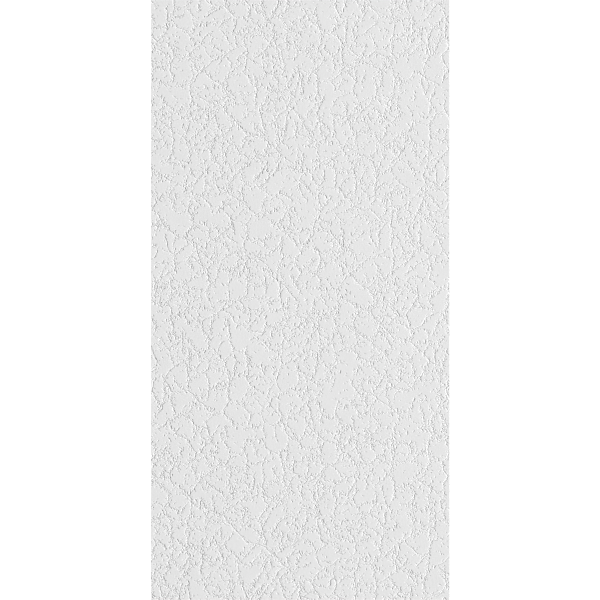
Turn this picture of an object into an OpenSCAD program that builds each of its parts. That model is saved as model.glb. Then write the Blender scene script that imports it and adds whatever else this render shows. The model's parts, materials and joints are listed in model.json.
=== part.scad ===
// Suspended ceiling tile: a square-edged lay-in board with a crackle of raised veins on its face.
// It lies face up, with the middle of its back at the origin and its length along Y.

/* [Board] */
// Width of the board: a 2 ft grid module less its clearance
board_w = 603; // [290:1:760]
// Length of the board: a 4 ft grid module less its clearance
board_l = 1213; // [590:1:1530]
// Overall thickness of the board, veins included
board_t = 15.9; // [12.7:0.1:25.4]

/* [Embossing roll] */
// Step of the roll's half-drop repeat across the board
drop_w = 297; // [240:1:360]
// Step of the roll's half-drop repeat along the board
drop_l = 412; // [330:1:500]
// Seed of the random crackle on the roll
roll_seed = 5; // [1:1:99]

/* [Crackle] */
// Mean distance between columns of junctions across the board
column_pitch = 37; // [34:1:80]
// Mean distance between junctions in a column, along the board
junction_pitch = 26; // [24:1:50]
// Swing of a column to either side at its junctions, in column pitches
zigzag = 0.19; // [0:0.01:0.2]
// Random shift of a junction across the board, in column pitches
shift_across = 0.25; // [0:0.01:0.26]
// Random shift of a junction along the board, in junction pitches
shift_along = 0.38; // [0:0.01:0.4]
// Share of the stretches between junctions that has no vein
break_share = 0.17; // [0.1:0.01:0.6]

/* [Veins] */
// Height of the tallest veins above the face
vein_h = 0.85; // [0.3:0.05:1.5]
// Width of the widest veins at their foot
vein_w = 2.5; // [2:0.1:4]
// Size of the slightest veins, as a share of the tallest ones
least_vein = 0.7; // [0.5:0.05:1]
// Bare length between a junction and the tip of a vein that ends there
tip_gap = 4; // [2.5:0.5:8]
// Random kink of a vein halfway between two junctions, as a share of the stretch
kink = 0.15; // [0:0.01:0.2]

/* [Hidden] */
face_z = board_t - vein_h;
// Even numbers of columns and junctions fit one step of the roll's repeat, so that swings match
columns = 2 * max(1, round(drop_w / column_pitch / 2));
junctions = 2 * max(1, round(drop_l / junction_pitch / 2));
step = [drop_w / columns, drop_l / junctions];
// Veins start a few junctions past the edges, where the saw cuts through them
overrun = 3;
reach = [ceil(board_w / 2 / step.x) + overrun, ceil(board_l / 2 / step.y) + overrun];

// Random numbers that each junction draws, and seeds from one roll to the next
draws = 6;
seeds_per_roll = 1000;
// Mitres at sharp turns stop at the half width divided by this
mitre_limit = 0.5;
// On a short stretch the bare length at a tip is no more than this share of it
bare_share = 0.15;

// The three ways out of a junction, numbered so that any two give the third
UP = 0;
DOWN = 1;
ACROSS = 2;
WAYS = [UP, DOWN, ACROSS];
function third_way(a, b) = UP + DOWN + ACROSS - a - b;
function way_back(way) = way == UP ? DOWN : way == DOWN ? UP : ACROSS;

function along(a, b, t) = a + (b - a) * t;
function left_of(v) = [-v.y, v.x];
function unit(v) = v / norm(v);
function wrap(n, period) = n - period * floor(n / period);
function last(list) = list[len(list) - 1];

// Random numbers from 0 to 1 for junction [column, place], the same at each repeat of the roll
function draw(at) =
    let (turn = floor(at.y / junctions))
    let (place = wrap(at.y, junctions))
    let (column = wrap(at.x - turn * columns, 2 * columns))
    rands(0, 1, draws, seeds_per_roll * roll_seed + 2 * columns * place + column);
function either_side(number) = 2 * number - 1;

// Every other junction swings to the right, and its way across goes to the column there
function swings_right(at) = wrap(at.x + at.y, 2) == 0;
function next_to(at, way) =
    way == UP ? at + [0, 1] :
    way == DOWN ? at - [0, 1] :
    swings_right(at) ? at + [1, 0] : at - [1, 0];

function point_of(at) =
    let (number = draw(at))
    let (swing = swings_right(at) ? zigzag : -zigzag)
    let (across = at.x + swing + shift_across * either_side(number[0]))
    let (upward = at.y + shift_along * either_side(number[1]))
    [step.x * across, step.y * upward];

// Each stretch is kept or broken by the junction at its lower or left end
function has_vein(at, way) =
    way == UP ? draw(at)[2] > break_share :
    way == DOWN ? draw(next_to(at, DOWN))[2] > break_share :
    draw(swings_right(at) ? at : next_to(at, ACROSS))[3] > break_share;

// The two ways at a junction that lie straightest run on as one vein, and the third stops there
function heading(at, way) = unit(point_of(next_to(at, way)) - point_of(at));
function bend_without(at, way) =
    let (others = [for (other = WAYS) if (other != way) heading(at, other)])
    others[0] * others[1];
function stopped_way(at) =
    let (bends = [for (way = WAYS) bend_without(at, way)])
    search(min(bends), bends)[0];
function runs_on(at, way) =
    way != stopped_way(at) && has_vein(at, third_way(way, stopped_way(at)));
function starts(at, way) = has_vein(at, way) && !runs_on(at, way);

// The junctions that a vein passes, from the one where it starts
function trail(at, way) =
    let (next = next_to(at, way))
    let (arrival = way_back(way))
    let (inside = abs(next.x) < reach.x && abs(next.y) < reach.y)
    inside && runs_on(next, arrival)
        ? [at, each trail(next, third_way(arrival, stopped_way(next)))]
        : [at, next];

// A vein is found from both its ends, and is drawn from the lower or left one
function is_before(a, b) = a.y < b.y || (a.y == b.y && a.x < b.x);

// The vein's course kinks between its junctions and stops short of the first and last ones
function course(trail) =
    let (end = len(trail) - 1)
    let (tip = function(a, b) along(a, b, min(tip_gap / norm(b - a), bare_share)))
    [
        tip(point_of(trail[0]), point_of(trail[1])),
        for (k = [0 : end - 1])
            let (a = point_of(trail[k]))
            let (b = point_of(trail[k + 1]))
            let (aside = left_of(b - a) * kink * either_side(draw(trail[k])[4]))
            each [if (k > 0) a, (a + b) / 2 + aside],
        tip(point_of(trail[end]), point_of(trail[end - 1]))
    ];

function is_within(p, inset) = abs(p.x) < board_w / 2 - inset && abs(p.y) < board_l / 2 - inset;
function points_within(path, inset) = len([for (p = path) if (is_within(p, inset)) p]);

// Sideways step from the crest to the foot of a vein, mitred between two stretches
function foot(path, k, half_w) =
    let (before = unit(path[k] - path[k - 1]))
    let (after = unit(path[k + 1] - path[k]))
    let (side = left_of(unit(before + after)))
    side * half_w / max(mitre_limit, side * left_of(before));

// A ridge of triangular section that runs out to a point at both tips
module vein(path, size) {
    turns = len(path) - 2;
    half_w = size * vein_w / 2;
    crest_z = face_z + size * vein_h;
    ridge = [
        for (k = [1 : turns])
            let (aside = foot(path, k, half_w))
            each [
                [each path[k] + aside, face_z],
                [each path[k], crest_z],
                [each path[k] - aside, face_z]
            ]
    ];
    end = 3 * turns + 1;
    polyhedron(
        points = [[each path[0], face_z], each ridge, [each last(path), face_z]],
        faces = [
            [0, 1, 2], [0, 2, 3], [0, 3, 1],
            for (k = [1 : turns - 1])
                let (a = 3 * k - 2)
                each [
                    [a, a + 3, a + 4], [a, a + 4, a + 1],
                    [a + 1, a + 4, a + 5], [a + 1, a + 5, a + 2],
                    [a + 2, a + 5, a + 3], [a + 2, a + 3, a]
                ],
            [end, end - 2, end - 3], [end, end - 1, end - 2], [end, end - 3, end - 1]
        ]
    );
}

// A vein as the saw leaves it: whole inside the edges, and cut off flush where it crosses them
module sawn_vein(path, size) {
    if (points_within(path, vein_w) == len(path))
        vein(path, size);
    else if (points_within(path, 0) > 0)
        intersection() {
            vein(path, size);
            board(board_t);
        }
}

module crackle() {
    for (column = [-reach.x : reach.x], place = [-reach.y : reach.y], way = WAYS) {
        at = [column, place];
        if (starts(at, way)) {
            trail = trail(at, way);
            size = least_vein + (1 - least_vein) * draw(at)[5];
            if (is_before(at, last(trail))) sawn_vein(course(trail), size);
        }
    }
}

module board(height) {
    translate([-board_w / 2, -board_l / 2, 0]) cube([board_w, board_l, height]);
}

module ceiling_tile() {
    color("gainsboro") {
        board(face_z);
        crackle();
    }
}

ceiling_tile();
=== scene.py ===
import json
import math
import random

import bmesh
import bpy
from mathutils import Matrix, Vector

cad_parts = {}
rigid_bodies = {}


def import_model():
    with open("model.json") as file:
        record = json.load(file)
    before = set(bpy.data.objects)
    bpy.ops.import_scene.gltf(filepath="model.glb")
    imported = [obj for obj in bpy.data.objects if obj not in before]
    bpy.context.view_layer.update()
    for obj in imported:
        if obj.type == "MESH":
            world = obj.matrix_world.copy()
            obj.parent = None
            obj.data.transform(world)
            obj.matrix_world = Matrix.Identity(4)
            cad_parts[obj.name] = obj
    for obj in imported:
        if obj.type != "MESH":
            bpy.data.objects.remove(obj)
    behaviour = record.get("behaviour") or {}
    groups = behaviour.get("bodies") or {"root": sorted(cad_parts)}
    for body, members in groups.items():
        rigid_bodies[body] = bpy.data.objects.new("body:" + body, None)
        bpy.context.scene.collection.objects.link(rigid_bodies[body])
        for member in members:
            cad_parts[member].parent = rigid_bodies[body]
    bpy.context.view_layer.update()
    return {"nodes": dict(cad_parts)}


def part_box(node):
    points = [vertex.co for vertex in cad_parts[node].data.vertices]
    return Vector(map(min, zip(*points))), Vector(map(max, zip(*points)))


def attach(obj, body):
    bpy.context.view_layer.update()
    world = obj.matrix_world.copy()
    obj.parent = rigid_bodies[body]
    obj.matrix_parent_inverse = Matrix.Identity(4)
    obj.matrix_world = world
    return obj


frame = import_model()
scene = bpy.context.scene
board = frame["nodes"]["ceiling_tile"]
low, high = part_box("ceiling_tile")
mm = 0.001

# sockets of a Mix node: the two colours that go in and the one that comes out, and the two values
colourA, colourB, mixedColour = 6, 7, 2
valueA, valueB = 2, 3


def hexColour(text):
    def linear(level):  # the sRGB curve
        return level / 12.92 if level <= 0.04045 else ((level + 0.055) / 1.055) ** 2.4
    levels = [int(text[k:k + 2], 16) / 255 for k in (1, 3, 5)]
    return (*map(linear, levels), 1)


def addNode(tree, kind, links=None, **settings):
    node = tree.nodes.new(kind)
    count = len(tree.nodes)
    node.location = (190 * count, -60 * (count % 5))  # spread out for whoever opens the tree
    for name, value in settings.items():
        setattr(node, name, value)
    for key, value in (links or {}).items():
        if isinstance(value, bpy.types.NodeSocket):
            tree.links.new(value, node.inputs[key])
        else:
            node.inputs[key].default_value = value
    return node


def levelOfFace(mesh):
    # the level with the most area that looks up: the flat ground between the veins
    leastUp = 0.999  # Z of a level polygon's normal
    places = 6  # decimals of a metre that tell two levels apart
    areas = {}
    for polygon in mesh.polygons:
        if polygon.normal.z > leastUp:
            level = round(polygon.center.z, places)
            areas[level] = areas.get(level, 0) + polygon.area
    return max(areas, key=areas.get)


faceLevel = levelOfFace(board.data)
print("face level", round(faceLevel / mm, 2), "mm")

# matte latex paint, rolled on the embossed face: chalky, with hardly any gleam
# the edges and back are raw mineral fibre, sawn and pressed: dull, rough and warmer than the paint
finish = {
    "paint": "#e8e8e8",
    "paintShade": "#e2e2e2",  # where the paint covers less
    "thickPaintAndHighlight": "#eaeaea",  # on the crests: partly thicker paint from the roller, partly a painted highlight
    "crestWhiteFrom": 0.1 * mm,  # height above the ground where the crests start to whiten, with thicker paint and a painted highlight
    "crestWhiteAt": 0.5 * mm,  # and where they are whitest
    "mottleSize": 45 * mm,
    "roughness": 0.92,
    "ior": 1.5,
    "gleam": 0.25,
    "stippleSize": 4 * mm,  # coarser than a real roller's stipple, so that it shows
    "stippleHeight": 0.2 * mm,
    "paintDepth": 1.2 * mm,  # how far the paint runs down over the edge
    "paintRag": 0.9 * mm,  # how much further down it runs in places
    "paintFade": 0.4 * mm,
    "ragSize": 7 * mm,
    "fibre": "#b9b2a4",
    "fibreDark": "#978e7f",
    "fibreSize": 2.2 * mm,  # clumps of wool
    "fibreHeight": 0.35 * mm,
}


def paintedMineralFibre(s):
    material = bpy.data.materials.new("matte_paint_on_mineral_fibre")
    material.use_nodes = True
    tree = material.node_tree
    tree.nodes.clear()
    place = addNode(tree, "ShaderNodeTexCoord").outputs["Object"]
    height = addNode(tree, "ShaderNodeSeparateXYZ", {0: place}).outputs["Z"]
    # faint clouds in the paint's cover, which keep the smooth islands from looking printed
    mottle = addNode(tree, "ShaderNodeTexNoise", {
        "Vector": place, "Scale": 1 / s["mottleSize"], "Detail": 3, "Roughness": 0.6})
    thin = addNode(tree, "ShaderNodeMix", {
        "Factor": mottle.outputs[0],
        colourA: hexColour(s["paint"]), colourB: hexColour(s["paintShade"])}, data_type="RGBA")
    # crests are a little whiter: partly because the roller leaves more paint there, partly as a painted
    # highlight on the raised relief
    crest = addNode(tree, "ShaderNodeMapRange", {
        "Value": height, "From Min": faceLevel + s["crestWhiteFrom"], "From Max": faceLevel + s["crestWhiteAt"]})
    paint = addNode(tree, "ShaderNodeMix", {
        "Factor": crest.outputs[0],
        colourA: thin.outputs[mixedColour], colourB: hexColour(s["thickPaintAndHighlight"])}, data_type="RGBA")
    stipple = addNode(tree, "ShaderNodeTexNoise", {
        "Vector": place, "Scale": 1 / s["stippleSize"], "Detail": 2, "Roughness": 0.55})
    # raw fibre: matted wool and clay
    wool = addNode(tree, "ShaderNodeTexNoise", {
        "Vector": place, "Scale": 1 / s["fibreSize"], "Detail": 6, "Roughness": 0.7, "Distortion": 1.2})
    fibre = addNode(tree, "ShaderNodeMix", {
        "Factor": wool.outputs[0],
        colourA: hexColour(s["fibreDark"]), colourB: hexColour(s["fibre"])}, data_type="RGBA")
    # the paint ends raggedly a little below the face
    rag = addNode(tree, "ShaderNodeTexNoise", {
        "Vector": place, "Scale": 1 / s["ragSize"], "Detail": 4})
    ragged = addNode(tree, "ShaderNodeMath", {
        0: rag.outputs[0], 1: s["paintRag"], 2: height}, operation="MULTIPLY_ADD")
    paintEnd = faceLevel - s["paintDepth"]
    cover = addNode(tree, "ShaderNodeMapRange", {
        "Value": ragged.outputs[0], "From Min": paintEnd, "From Max": paintEnd + s["paintFade"]})
    colour = addNode(tree, "ShaderNodeMix", {
        "Factor": cover.outputs[0],
        colourA: fibre.outputs[mixedColour], colourB: paint.outputs[mixedColour]}, data_type="RGBA")
    grain = addNode(tree, "ShaderNodeMath", {
        0: stipple.outputs[0], 1: s["stippleHeight"]}, operation="MULTIPLY")
    rough = addNode(tree, "ShaderNodeMath", {
        0: wool.outputs[0], 1: s["fibreHeight"]}, operation="MULTIPLY")
    relief = addNode(tree, "ShaderNodeMix", {
        "Factor": cover.outputs[0], valueA: rough.outputs[0], valueB: grain.outputs[0]}, data_type="FLOAT")
    bump = addNode(tree, "ShaderNodeBump", {"Height": relief.outputs[0], "Distance": 1})
    shader = addNode(tree, "ShaderNodeBsdfPrincipled", {
        "Base Color": colour.outputs[mixedColour], "Roughness": s["roughness"], "IOR": s["ior"],
        "Specular IOR Level": s["gleam"], "Normal": bump.outputs[0]})
    addNode(tree, "ShaderNodeOutputMaterial", {"Surface": shader.outputs[0]})
    return material


boardFinish = paintedMineralFibre(finish)
for materialSlot in board.material_slots:
    materialSlot.material = boardFinish
print("board painted")


def fineVein(s, rng):
    # a thin jagged ridge: lumpy, of triangular section, run out at both tips and closed below
    length = rng.uniform(*s["length"])
    bow = rng.uniform(-s["bow"], s["bow"]) * length
    last = s["turns"] + 1
    path = []
    for k in range(last + 1):
        t = k / last
        jog = rng.uniform(-s["jog"], s["jog"])
        path.append(Vector(((t - 0.5) * length, 4 * t * (1 - t) * bow + jog)))
    points = [(*path[0], -s["sink"])]
    for k in range(1, last):
        course = path[k + 1] - path[k - 1]
        lump = rng.uniform(*s["lumps"])
        aside = Vector((-course.y, course.x)).normalized() * lump * s["width"] / 2
        points += [
            (*(path[k] + aside), -s["sink"]),
            (*path[k], lump * s["height"]),
            (*(path[k] - aside), -s["sink"])]
    points.append((*path[last], -s["sink"]))
    end = len(points) - 1
    faces = [(0, 2, 1), (0, 3, 2), (0, 1, 3)]
    for a in range(1, end - 3, 3):
        faces += [(a, a + 1, a + 4, a + 3), (a + 1, a + 2, a + 5, a + 4), (a + 2, a, a + 3, a + 5)]
    faces += [(end, end - 3, end - 2), (end, end - 2, end - 1), (end, end - 1, end - 3)]
    return points, faces


def flake(s, rng):
    # a raised flake with four ragged corners, steep sides and a slightly uneven top, closed below
    halfLength = rng.uniform(*s["length"]) / 2
    halfWidth = rng.uniform(*s["width"]) / 2
    foot, top = [], []
    for x, y in ((1, 1), (-1, 1), (-1, -1), (1, -1)):
        across = rng.uniform(*s["ragged"]) * halfWidth
        along = rng.uniform(*s["ragged"]) * halfLength
        foot.append((x * along, y * across, -s["sink"]))
        top.append((x * (along - s["run"]), y * (across - s["run"]), rng.uniform(*s["height"])))
    sides = [(k, (k + 1) % 4, (k + 1) % 4 + 4, k + 4) for k in range(4)]
    return foot + top, [(3, 2, 1, 0), *sides, (4, 5, 6, 7)]


def shapeSet(name, s):
    # a handful of unlike shapes, which the scatter picks from
    rng = random.Random(s["seed"])
    shapes = bpy.data.collections.new(name)
    for k in range(s["shapes"]):
        points, faces = s["shape"](s, rng)
        mesh = bpy.data.meshes.new(name + str(k))
        mesh.from_pydata(points, [], faces)
        shapes.objects.link(bpy.data.objects.new(name + str(k), mesh))
    return shapes


# what is the same for all the scattered pieces
strewing = {
    "crowd": 1e6,  # points a square metre, before the spacing thins them out
    "noiseSpread": (0.35, 0.65),  # most of a noise texture's values lie between these
    "clusterNoise": (0.56, 0.64),  # a cluster starts at the first value and is full at the second
    "anyShape": 1000,  # a pick past the last shape wraps round to the first
    "turnSeed": 11,
    "sizeSeed": 23,
    "pickSeed": 37,
}


def scatterTree(s):
    # strews shapes over the face by their distance to the nearest vein: lanes beside it, islands beyond
    tree = bpy.data.node_groups.new("reliefScatter", "GeometryNodeTree")
    newSocket = tree.interface.new_socket
    newSocket("Geometry", in_out="INPUT", socket_type="NodeSocketGeometry")
    newSocket("Geometry", in_out="OUTPUT", socket_type="NodeSocketGeometry")
    for name, kind in (
            ("Veins", "Object"), ("Fine veins", "Object"), ("Shapes", "Collection"),
            ("Finish", "Material"), ("Spacing", "Float"), ("Ground level", "Float"),
            ("Bare strip", "Float"), ("Lane core", "Float"), ("Lane edge", "Float"),
            ("Lane share", "Float"), ("Island share", "Float"), ("Patch size", "Float"),
            ("Patch low", "Float"), ("Patch high", "Float"), ("Cluster size", "Float"),
            ("Cluster share", "Float"), ("Least size", "Float"), ("Most size", "Float"),
            ("Lean", "Float"), ("Near swing", "Float"), ("Far swing", "Float"), ("Seed", "Int")):
        newSocket(name, in_out="INPUT", socket_type="NodeSocket" + kind)
    given = addNode(tree, "NodeGroupInput").outputs
    place = addNode(tree, "GeometryNodeInputPosition").outputs[0]
    height = addNode(tree, "ShaderNodeSeparateXYZ", {0: place}).outputs["Z"]
    # of the board only the veins are kept to measure from, and the fine veins join them
    veins = addNode(tree, "GeometryNodeObjectInfo", {
        "Object": given["Veins"]}, transform_space="RELATIVE")
    onGround = addNode(tree, "FunctionNodeCompare", {
        0: height, 1: given["Ground level"]}, data_type="FLOAT", operation="LESS_EQUAL")
    ridges = addNode(tree, "GeometryNodeDeleteGeometry", {
        "Geometry": veins.outputs["Geometry"], "Selection": onGround.outputs[0]}, domain="FACE")
    fineVeins = addNode(tree, "GeometryNodeObjectInfo", {
        "Object": given["Fine veins"]}, transform_space="RELATIVE")
    allVeins = addNode(tree, "GeometryNodeJoinGeometry", {0: ridges.outputs[0]})
    tree.links.new(fineVeins.outputs["Geometry"], allVeins.inputs[0])
    nearest = addNode(tree, "GeometryNodeProximity", {0: allVeins.outputs[0]}, target_element="FACES")
    distance = nearest.outputs["Distance"]
    points = addNode(tree, "GeometryNodeDistributePointsOnFaces", {
        "Mesh": given["Geometry"], "Distance Min": given["Spacing"], "Density Max": s["crowd"],
        "Seed": given["Seed"]}, distribute_method="POISSON")
    # some stretches of lane are wider or narrower
    perPatch = addNode(tree, "ShaderNodeMath", {0: 1.0, 1: given["Patch size"]}, operation="DIVIDE")
    patches = addNode(tree, "ShaderNodeTexNoise", {"Scale": perPatch.outputs[0], "Detail": 2.0})
    patch = addNode(tree, "ShaderNodeMapRange", {
        "Value": patches.outputs[0],
        "From Min": s["noiseSpread"][0], "From Max": s["noiseSpread"][1],
        "To Min": given["Patch low"], "To Max": given["Patch high"]})
    laneEdge = addNode(tree, "ShaderNodeMath", {
        0: given["Lane edge"], 1: patch.outputs[0]}, operation="MULTIPLY")
    lane = addNode(tree, "ShaderNodeMapRange", {
        "Value": distance, "From Min": given["Lane core"], "From Max": laneEdge.outputs[0],
        "To Min": given["Lane share"], "To Max": given["Island share"]}, interpolation_type="SMOOTHSTEP")
    # clusters may also stand away from the veins
    perCluster = addNode(tree, "ShaderNodeMath", {0: 1.0, 1: given["Cluster size"]}, operation="DIVIDE")
    clusters = addNode(tree, "ShaderNodeTexNoise", {"Scale": perCluster.outputs[0], "Detail": 1.0})
    cluster = addNode(tree, "ShaderNodeMapRange", {
        "Value": clusters.outputs[0],
        "From Min": s["clusterNoise"][0], "From Max": s["clusterNoise"][1],
        "To Min": 0.0, "To Max": given["Cluster share"]})
    anyShare = addNode(tree, "ShaderNodeMath", {
        0: lane.outputs[0], 1: cluster.outputs[0]}, operation="MAXIMUM")
    # a bare strip on both sides of a vein lets it show as a line
    clear = addNode(tree, "ShaderNodeMapRange", {
        "Value": distance, "From Min": given["Bare strip"], "From Max": given["Lane core"]})
    share = addNode(tree, "ShaderNodeMath", {
        0: anyShare.outputs[0], 1: clear.outputs[0]}, operation="MULTIPLY")
    luck = addNode(tree, "FunctionNodeRandomValue", {"Seed": given["Seed"]}, data_type="FLOAT")
    tooMany = addNode(tree, "FunctionNodeCompare", {
        0: luck.outputs[1], 1: share.outputs[0]}, data_type="FLOAT", operation="GREATER_THAN")
    kept = addNode(tree, "GeometryNodeDeleteGeometry", {
        "Geometry": points.outputs["Points"], "Selection": tooMany.outputs[0]}, domain="POINT")
    # a shape leans to either side of the nearest vein's course, and swings further off it by chance
    toVein = addNode(tree, "ShaderNodeVectorMath", {
        0: nearest.outputs["Position"], 1: place}, operation="SUBTRACT")
    alongVein = addNode(tree, "FunctionNodeAlignRotationToVector", {
        "Vector": toVein.outputs[0]}, axis="Y", pivot_axis="Z")
    swing = addNode(tree, "ShaderNodeMapRange", {
        "Value": distance, "From Min": given["Lane core"], "From Max": given["Lane edge"],
        "To Min": given["Near swing"], "To Max": given["Far swing"]})
    leastSwing = addNode(tree, "ShaderNodeMath", {0: swing.outputs[0], 1: -1.0}, operation="MULTIPLY")
    turn = addNode(tree, "FunctionNodeRandomValue", {
        2: leastSwing.outputs[0], 3: swing.outputs[0], "Seed": s["turnSeed"]}, data_type="FLOAT")
    side = addNode(tree, "ShaderNodeMath", {0: turn.outputs[1]}, operation="SIGN")
    leaning = addNode(tree, "ShaderNodeMath", {
        0: side.outputs[0], 1: given["Lean"], 2: turn.outputs[1]}, operation="MULTIPLY_ADD")
    turned = addNode(tree, "ShaderNodeCombineXYZ", {"Z": leaning.outputs[0]})
    spin = addNode(tree, "FunctionNodeEulerToRotation", {0: turned.outputs[0]})
    facing = addNode(tree, "FunctionNodeRotateRotation", {
        0: alongVein.outputs[0], 1: spin.outputs[0]}, rotation_space="LOCAL")
    # length, width and height vary apart from each other
    least = addNode(tree, "ShaderNodeCombineXYZ", {k: given["Least size"] for k in range(3)})
    most = addNode(tree, "ShaderNodeCombineXYZ", {k: given["Most size"] for k in range(3)})
    size = addNode(tree, "FunctionNodeRandomValue", {
        0: least.outputs[0], 1: most.outputs[0], "Seed": s["sizeSeed"]}, data_type="FLOAT_VECTOR")
    pick = addNode(tree, "FunctionNodeRandomValue", {
        4: 0, 5: s["anyShape"], "Seed": s["pickSeed"]}, data_type="INT")
    shapes = addNode(tree, "GeometryNodeCollectionInfo", {
        "Collection": given["Shapes"], "Separate Children": True, "Reset Children": True})
    laid = addNode(tree, "GeometryNodeInstanceOnPoints", {
        "Points": kept.outputs[0], "Instance": shapes.outputs[0], "Pick Instance": True,
        "Instance Index": pick.outputs[2], "Rotation": facing.outputs[0], "Scale": size.outputs[0]})
    real = addNode(tree, "GeometryNodeRealizeInstances", {0: laid.outputs[0]})
    painted = addNode(tree, "GeometryNodeSetMaterial", {
        "Geometry": real.outputs[0], "Material": given["Finish"]})
    addNode(tree, "NodeGroupOutput", {0: painted.outputs[0]})
    return tree


scatter = scatterTree(strewing)


def sawFlush(mesh):
    # what reaches past the board's edges is cut off level with them, and each cut is closed
    touching = 0.01 * mm  # a point this near the cut counts as on it
    sawnSides = ((low, (-1, 0, 0)), (low, (0, -1, 0)), (high, (1, 0, 0)), (high, (0, 1, 0)))
    edited = bmesh.new()
    edited.from_mesh(mesh)
    for corner, outward in sawnSides:
        everything = [*edited.verts, *edited.edges, *edited.faces]
        bmesh.ops.bisect_plane(
            edited, geom=everything, dist=touching, plane_co=corner, plane_no=outward, clear_outer=True)
        cuts = [edge for edge in edited.edges if edge.is_boundary]
        bmesh.ops.holes_fill(edited, edges=cuts)
    bmesh.ops.recalc_face_normals(edited, faces=edited.faces)
    edited.to_mesh(mesh)
    edited.free()


def reliefPiece(name, s, beside=None):
    # the piece starts as a sheet on the ground of the face, and the tree strews its shapes over that
    groundMargin = 0.05 * mm  # polygons no higher than this above the face count as ground
    left, right = low.x + s["inset"], high.x - s["inset"]
    near, far = low.y + s["inset"], high.y - s["inset"]
    corners = [(x, y, faceLevel) for x, y in ((left, near), (right, near), (right, far), (left, far))]
    sheet = bpy.data.meshes.new(name)
    sheet.from_pydata(corners, [], [(0, 1, 2, 3)])
    piece = bpy.data.objects.new(name, sheet)
    scene.collection.objects.link(piece)
    shapes = shapeSet(name + "Shapes", s)
    modifier = piece.modifiers.new("scatter", "NODES")
    modifier.node_group = scatter
    inputs = {
        "Veins": board, "Shapes": shapes, "Finish": boardFinish, "Spacing": s["spacing"],
        "Ground level": faceLevel + groundMargin, "Bare strip": s["bare"],
        "Lane core": s["lane"][0], "Lane edge": s["lane"][1],
        "Lane share": s["shares"][0], "Island share": s["shares"][1],
        "Patch size": s["patchSize"], "Patch low": s["patches"][0], "Patch high": s["patches"][1],
        "Cluster size": s["clusterSize"], "Cluster share": s["clusterShare"],
        "Least size": s["sizes"][0], "Most size": s["sizes"][1],
        "Lean": s["lean"], "Near swing": s["swings"][0], "Far swing": s["swings"][1],
        "Seed": s["seed"]}
    if beside:
        inputs["Fine veins"] = beside
    for socket in scatter.interface.items_tree:
        if socket.in_out == "INPUT" and socket.name in inputs:
            modifier[socket.identifier] = inputs[socket.name]
    evaluated = piece.evaluated_get(bpy.context.evaluated_depsgraph_get())
    mesh = bpy.data.meshes.new_from_object(evaluated)
    sawFlush(mesh)
    piece.modifiers.remove(modifier)
    piece.data = mesh
    bpy.data.meshes.remove(sheet)
    for shape in list(shapes.objects):
        bpy.data.objects.remove(shape)
    bpy.data.collections.remove(shapes)
    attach(piece, "root")
    triangles = sum(len(polygon.vertices) - 2 for polygon in mesh.polygons)
    print(name, triangles, "triangles")
    return piece


# thin veins that slant away from the main ones and cross the islands between them
hairVeins = {
    "shape": fineVein,
    "shapes": 16,  # unlike ones to pick from
    "length": (24 * mm, 60 * mm),
    "turns": 15,  # points between the two tips
    "bow": 0.12,  # in lengths
    "jog": 1.6 * mm,  # to either side at each point
    "lumps": (0.6, 1.1),  # shares of the width and height at each turn
    "width": 2 * mm,
    "height": 0.92 * mm,
    "sink": 0.08 * mm,  # depth of the foot in the board
    "seed": 3,
    "inset": 2 * mm,  # from the board's edges to the nearest middle of a shape
    "spacing": 17 * mm,  # least distance from middle to middle
    "bare": 1.5 * mm,  # strip beside a vein where no middle lies
    "lane": (4 * mm, 16 * mm),  # distance from a vein to the core and the edge of its lane
    "shares": (0.5, 0.5),  # of the points that get a shape, in the core and on the islands
    "patchSize": 120 * mm,
    "patches": (0.4, 1.5),  # times the lane's edge, where it is narrowest and widest
    "clusterSize": 30 * mm,
    "clusterShare": 0.5,
    "sizes": (0.7, 1.15),  # times a shape's length, width and height
    "lean": 0.55,  # radians
    "swings": (0.3, 0.5),  # radians, in the core and at the edge of the lane
}
# flakes of the wet face that the roll pulled up, in lanes along all the veins
crumbs = {
    "shape": flake,
    "shapes": 20,
    "length": (4.4 * mm, 8 * mm),
    "width": (1.7 * mm, 2.2 * mm),
    "height": (0.8 * mm, 1.12 * mm),
    "run": 0.55 * mm,  # from the foot of a side to its top
    "ragged": (0.75, 1.1),  # shares of the half length and half width at each corner
    "sink": 0.08 * mm,
    "seed": 5,
    "inset": 1 * mm,
    "spacing": 3.6 * mm,
    "bare": -10 * mm,  # less than nothing, so they lie right up to the veins
    "lane": (0.5 * mm, 3.2 * mm),
    "shares": (0.75, 0.008),
    "patchSize": 110 * mm,
    "patches": (0.35, 1.7),
    "clusterSize": 24 * mm,
    "clusterShare": 0.15,
    "sizes": (0.7, 1.15),
    "lean": 0.42,
    "swings": (0.3, 1.4),
}
# smaller and lower flakes, turned any way, in wider lanes and in clusters
grit = {
    "shape": flake,
    "shapes": 10,
    "length": (2.8 * mm, 5 * mm),
    "width": (1.5 * mm, 2 * mm),
    "height": (0.48 * mm, 0.86 * mm),
    "run": 0.4 * mm,
    "ragged": (0.8, 1.1),
    "sink": 0.05 * mm,
    "seed": 9,
    "inset": 0.5 * mm,
    "spacing": 3.6 * mm,
    "bare": -10 * mm,
    "lane": (1 * mm, 8 * mm),
    "shares": (0.56, 0.036),
    "patchSize": 110 * mm,
    "patches": (0.35, 1.7),
    "clusterSize": 20 * mm,
    "clusterShare": 0.5,
    "sizes": (0.7, 1.2),
    "lean": 0.0,
    "swings": (1.5, 3.1),
}
fineVeins = reliefPiece("hair_veins", hairVeins)
reliefPiece("crumbs", crumbs, fineVeins)
reliefPiece("grit", grit, fineVeins)

# a white sheet under the tile, which glows enough to leave no shadow in the picture
floorLook = {
    "reach": 12,
    "below": 0.2 * mm,  # keeps the sheet clear of the board's back
    "colour": "#ffffff",
    "glow": 0.965,
    "share": 0.25,  # of the light that falls on it and comes back
}


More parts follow.
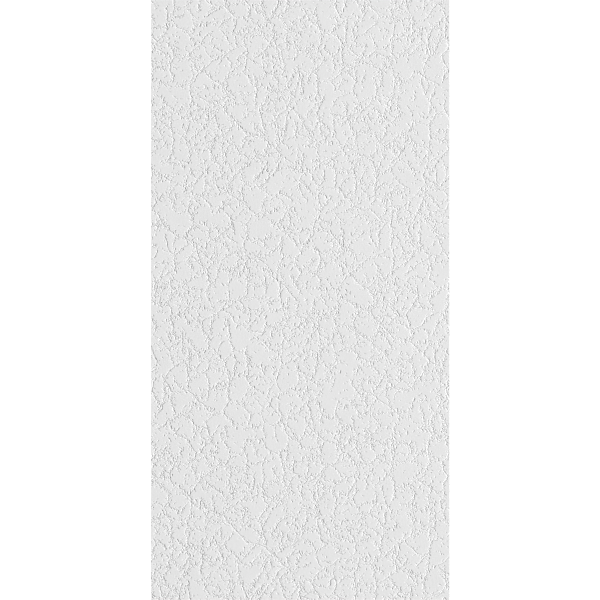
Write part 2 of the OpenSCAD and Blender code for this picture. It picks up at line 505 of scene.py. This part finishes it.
def whiteSheet(s):
    r, grey = s["reach"], s["share"]
    mesh = bpy.data.meshes.new("floor")
    mesh.from_pydata([(-r, -r, 0), (r, -r, 0), (r, r, 0), (-r, r, 0)], [], [(0, 1, 2, 3)])
    floor = bpy.data.objects.new("floor", mesh)
    floor.location.z = -s["below"]
    scene.collection.objects.link(floor)
    material = bpy.data.materials.new("lit_white_sheet")
    material.use_nodes = True
    tree = material.node_tree
    tree.nodes.clear()
    matte = addNode(tree, "ShaderNodeBsdfDiffuse", {"Color": (grey, grey, grey, 1)})
    glow = addNode(tree, "ShaderNodeEmission", {"Color": hexColour(s["colour"]), "Strength": s["glow"]})
    both = addNode(tree, "ShaderNodeAddShader", {0: matte.outputs[0], 1: glow.outputs[0]})
    addNode(tree, "ShaderNodeOutputMaterial", {"Surface": both.outputs[0]})
    mesh.materials.append(material)


whiteSheet(floorLook)

# a low key light from the left draws the relief, and a soft light from the right lifts that side
light = {
    "keyElevation": 33,
    "keyTurn": 185,  # degrees from +X, seen from above
    "keyStrength": 4.84,
    "keyAngle": 4,
    "fillPower": 6,
    "fillPlace": (1.6, 0.2, 1.9),
    "fillSize": 1.2,
    "sky": 0.09,  # light from all round
    "backdrop": 1.0,  # and how bright that looks to the camera
}


def studioLight(s):
    key = bpy.data.lights.new("key", "SUN")
    key.energy = s["keyStrength"]
    key.angle = math.radians(s["keyAngle"])
    keyObject = bpy.data.objects.new("key", key)
    turn, rise = math.radians(s["keyTurn"]), math.radians(s["keyElevation"])
    source = Vector((math.cos(turn) * math.cos(rise), math.sin(turn) * math.cos(rise), math.sin(rise)))
    keyObject.rotation_mode = "QUATERNION"
    keyObject.rotation_quaternion = source.to_track_quat("Z", "Y")
    scene.collection.objects.link(keyObject)
    fill = bpy.data.lights.new("fill", "AREA")
    fill.energy = s["fillPower"]
    fill.size = s["fillSize"]
    fillObject = bpy.data.objects.new("fill", fill)
    fillObject.location = s["fillPlace"]
    fillObject.rotation_mode = "QUATERNION"
    fillObject.rotation_quaternion = Vector(s["fillPlace"]).to_track_quat("Z", "Y")
    scene.collection.objects.link(fillObject)
    world = bpy.data.worlds.new("studio")
    world.use_nodes = True
    scene.world = world
    tree = world.node_tree
    tree.nodes.clear()
    seen = addNode(tree, "ShaderNodeLightPath").outputs["Is Camera Ray"]
    strength = addNode(tree, "ShaderNodeMapRange", {
        "Value": seen, "To Min": s["sky"], "To Max": s["backdrop"]})
    sky = addNode(tree, "ShaderNodeBackground", {"Color": (1, 1, 1, 1), "Strength": strength.outputs[0]})
    addNode(tree, "ShaderNodeOutputWorld", {"Surface": sky.outputs[0]})


studioLight(light)
scene.view_settings.view_transform = "Standard"
# prefiltered guides would smear this fine relief in the denoiser
scene.cycles.denoising_prefilter = "NONE"

# a long lens straight above, with the tile's length filling the frame
view = {
    "lens": 150,  # millimetres, as the sensor is
    "sensor": 36,
    "crop": 0.9995,  # share of the tile's length in the frame
}


def overheadCamera(s):
    camera = bpy.data.cameras.new("overhead")
    camera.lens = s["lens"]
    camera.sensor_width = s["sensor"]
    cameraObject = bpy.data.objects.new("overhead", camera)
    distance = (high.y - low.y) * s["crop"] * s["lens"] / s["sensor"]
    cameraObject.location = ((low.x + high.x) / 2, (low.y + high.y) / 2, faceLevel + distance)
    scene.collection.objects.link(cameraObject)
    scene.camera = cameraObject


overheadCamera(view)
print("lights and camera set")
